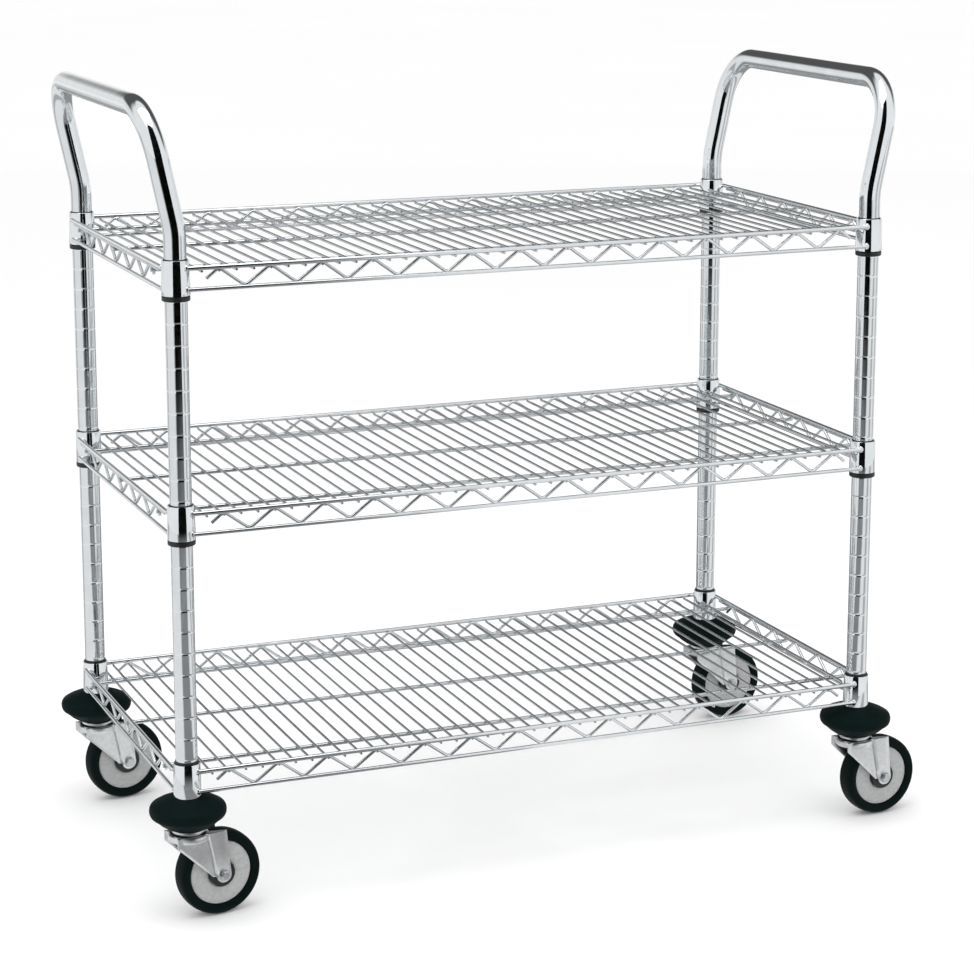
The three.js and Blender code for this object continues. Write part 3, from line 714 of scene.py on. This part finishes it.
tree.links.new(pit.outputs["Normal"], shader.inputs["Normal"])
shader.inputs["Specular IOR Level"].default_value = 0.05

for corner in CORNERS:
    half = np.array([
        (38.5, 9.0), (39.2, 10.6), (41.0, 11.8), (44.0, 12.9), (46.0, 13.0), (47.8, 12.4), (49.3, 10.8),
        (50.2, 8.3), (50.65, 5.0), (50.8, 1.8),
    ])
    profile = np.concatenate([half, half[::-1] * [1, -1]])[::-1]
    band = swung(on_axle(profile, 96, hollow=True), corner)
    made = piece("rubber_tyre_" + corner, [band], tyre_rubber, 60)
    stand_for(made, "tyre_" + corner, "wheel_" + corner)

# ---- Studio ----
# A pale floor, a bright even tent of light, and a dark card in front of the cart, which the chrome
# shows as one dark stripe down each tube. The card is seen in reflections only.
FLOOR_HALF = 30
CARD_R = 1.6
CARD_TOP = 3.2
SHEETS_R = 7
CAMERA_AT = (-1.2635, -3.0677, 1.2268)
CAMERA_YAW = math.radians(-22.37)
CAMERA_PITCH = math.radians(11.52)

floor_paint, tree, shader, place = new_finish("pale_floor_paint", 0.0, 0.8)
cloud = add(tree, "ShaderNodeTexNoise", {"Vector": place, "Scale": 0.8})
tint = add(tree, "ShaderNodeMix", {"Factor": cloud.outputs["Fac"]}, data_type="RGBA")
tint.inputs["A"].default_value = linear("#fbfbfb")
tint.inputs["B"].default_value = linear("#f7f7f7")
tree.links.new(tint.outputs["Result"], shader.inputs["Base Color"])
mesh = bpy.data.meshes.new("studio_floor")
square = np.array([(-1, -1, 0), (1, -1, 0), (1, 1, 0), (-1, 1, 0)]) * FLOOR_HALF
mesh.from_pydata(square.tolist(), [], [(0, 1, 2, 3)])
mesh.materials.append(floor_paint)
studio_floor = bpy.data.objects.new("studio_floor", mesh)
bpy.context.scene.collection.objects.link(studio_floor)

card_paint, tree, shader, place = new_finish("dark_studio_card", 0.0, 0.9)
shader.inputs["Specular IOR Level"].default_value = 0.0
height = add(tree, "ShaderNodeSeparateXYZ", {0: place}).outputs["Z"]
smooth = {"interpolation_type": "SMOOTHSTEP"}
rise = add(tree, "ShaderNodeMapRange", {"Value": height, "From Max": 0.45}, **smooth)
tint = add(tree, "ShaderNodeMix", {"Factor": rise.outputs["Result"]}, data_type="RGBA")
tint.inputs["A"].default_value = linear("#8a8c8d")
tint.inputs["B"].default_value = linear("#040505")
tree.links.new(tint.outputs["Result"], shader.inputs["Base Color"])
# The card is an upright arc round the cart, from 24 degrees left of the camera to 32 right.
bearing = math.atan2(-math.cos(CAMERA_YAW), math.sin(CAMERA_YAW)) + np.radians(np.linspace(-24, 32, 15))
foot = CARD_R * np.stack([np.cos(bearing), np.sin(bearing), np.zeros_like(bearing)], -1)
points = np.concatenate([foot, foot + [0, 0, CARD_TOP]])
at = np.arange(len(bearing))
strip = np.stack([at[:-1], at[1:], at[1:] + len(at), at[:-1] + len(at)], -1)
mesh = bpy.data.meshes.new("dark_card")
mesh.from_pydata(points.tolist(), [], strip.tolist())
mesh.materials.append(card_paint)
dark_card = bpy.data.objects.new("dark_card", mesh)
bpy.context.scene.collection.objects.link(dark_card)
dark_card.visible_camera = False
dark_card.visible_diffuse = False
dark_card.visible_shadow = False

# A ring of grey and white sheets laid on the floor, seen in reflections only: each pair is an angle
# round the cart as a share of a turn from -X, and how bright the sheet is there.
SHEETS = [
    (0.0, 0.92), (0.105, 0.92), (0.125, 0.28), (0.255, 0.28), (0.28, 0.92), (0.345, 0.95), (0.36, 0.5),
    (0.395, 0.5), (0.41, 0.95), (0.47, 0.95), (0.485, 0.5), (0.515, 0.5), (0.53, 0.95), (0.58, 0.9),
    (0.60, 0.34), (0.78, 0.34), (0.80, 0.92), (0.845, 0.92), (0.86, 0.5), (0.895, 0.5), (0.91, 0.92),
]
sheet_paper, tree, shader, place = new_finish("studio_sheets", 0.0, 0.9)
spot = add(tree, "ShaderNodeSeparateXYZ", {0: place}).outputs
bearing_of = add(tree, "ShaderNodeMath", {0: spot["Y"], 1: spot["X"]}, operation="ARCTAN2")
share = add(tree, "ShaderNodeMapRange", {"Value": bearing_of.outputs[0]})
share.inputs["From Min"].default_value = -math.pi
share.inputs["From Max"].default_value = math.pi
tone = add(tree, "ShaderNodeValToRGB", {"Fac": share.outputs["Result"]})
tone.color_ramp.elements.remove(tone.color_ramp.elements[1])
tone.color_ramp.elements[0].color = (SHEETS[0][1],) * 3 + (1,)
for position, level in SHEETS[1:]:
    tone.color_ramp.elements.new(position).color = (level,) * 3 + (1,)
shader.inputs["Base Color"].default_value = (0, 0, 0, 1)
shader.inputs["Specular IOR Level"].default_value = 0.0
shader.inputs["Emission Strength"].default_value = 1.0
tree.links.new(tone.outputs["Color"], shader.inputs["Emission Color"])
a = np.linspace(0, 2 * np.pi, 65)[:-1]
ring = np.stack([np.cos(a), np.sin(a), np.full_like(a, 0.0003)], -1)
points, quads, _ = skin(np.stack([ring * [0.02, 0.02, 1], ring * [SHEETS_R, SHEETS_R, 1]]))
mesh = bpy.data.meshes.new("studio_sheets")
mesh.from_pydata(points.tolist(), [], quads[:, ::-1].tolist())
mesh.materials.append(sheet_paper)
studio_sheets = bpy.data.objects.new("studio_sheets", mesh)
bpy.context.scene.collection.objects.link(studio_sheets)
studio_sheets.visible_camera = False
studio_sheets.visible_diffuse = False
studio_sheets.visible_shadow = False

softbox = bpy.data.lights.new("overhead_softbox", "AREA")
softbox.shape = "RECTANGLE"
softbox.size = 2.4
softbox.size_y = 1.6
softbox.energy = 28
lamp = bpy.data.objects.new("overhead_softbox", softbox)
lamp.location = (-0.5, -0.6, 2.9)
lamp.rotation_euler = (math.radians(-12), math.radians(-10), 0)
bpy.context.scene.collection.objects.link(lamp)

# Tent: white at the sides and overhead. Behind the cart the wall is bright low down, and above it
# a dark gap runs up to the overhead light, which draws dark lines along the wires. Only gloss sees
# this; the camera and the floor have plain white.
world = bpy.data.worlds.new("studio_tent")
world.use_nodes = True
bpy.context.scene.world = world
tree = world.node_tree
tree.nodes.clear()
way = add(tree, "ShaderNodeTexCoord").outputs["Generated"]
away = (-math.sin(CAMERA_YAW), math.cos(CAMERA_YAW), 0.0)
behind = add(tree, "ShaderNodeVectorMath", {0: way, 1: away}, operation="DOT_PRODUCT").outputs["Value"]
up = add(tree, "ShaderNodeSeparateXYZ", {0: way}).outputs["Z"]
back = add(tree, "ShaderNodeMapRange", {"Value": behind, "From Min": 0.12, "From Max": 0.42}, **smooth)
low = add(tree, "ShaderNodeMapRange", {"Value": up, "From Min": 0.14, "From Max": 0.34}, **smooth)
low.inputs["To Min"].default_value = 0.08
low.inputs["To Max"].default_value = 0.9
high = add(tree, "ShaderNodeMapRange", {"Value": up, "From Min": 0.80, "From Max": 0.88}, **smooth)
high.inputs["To Min"].default_value = 1.0
high.inputs["To Max"].default_value = 0.0
gap = add(tree, "ShaderNodeMath", {0: low.outputs[0], 1: high.outputs[0]}, operation="MULTIPLY")
dark = add(tree, "ShaderNodeMath", {0: gap.outputs[0], 1: back.outputs[0]}, operation="MULTIPLY")
level = add(tree, "ShaderNodeMath", {0: 1.0, 1: dark.outputs[0]}, operation="SUBTRACT")
tent = add(tree, "ShaderNodeBackground", {"Color": (1, 1, 1, 1), "Strength": level.outputs[0]})
paper = add(tree, "ShaderNodeBackground", {"Color": (1, 1, 1, 1), "Strength": 1.08})
shiny = add(tree, "ShaderNodeLightPath").outputs["Is Glossy Ray"]
both = add(tree, "ShaderNodeMixShader", {0: shiny, 1: paper.outputs[0], 2: tent.outputs[0]})
add(tree, "ShaderNodeOutputWorld", {"Surface": both.outputs[0]})

camera = bpy.data.cameras.new("studio_camera")
camera.sensor_width = 36
camera.lens = 99.46
camera.shift_y = -0.10
camera.clip_end = 100
viewer = bpy.data.objects.new("studio_camera", camera)
viewer.location = CAMERA_AT
viewer.rotation_euler = (math.pi / 2 - CAMERA_PITCH, 0, CAMERA_YAW)
bpy.context.scene.collection.objects.link(viewer)
bpy.context.scene.camera = viewer
bpy.context.scene.view_settings.view_transform = "Standard"
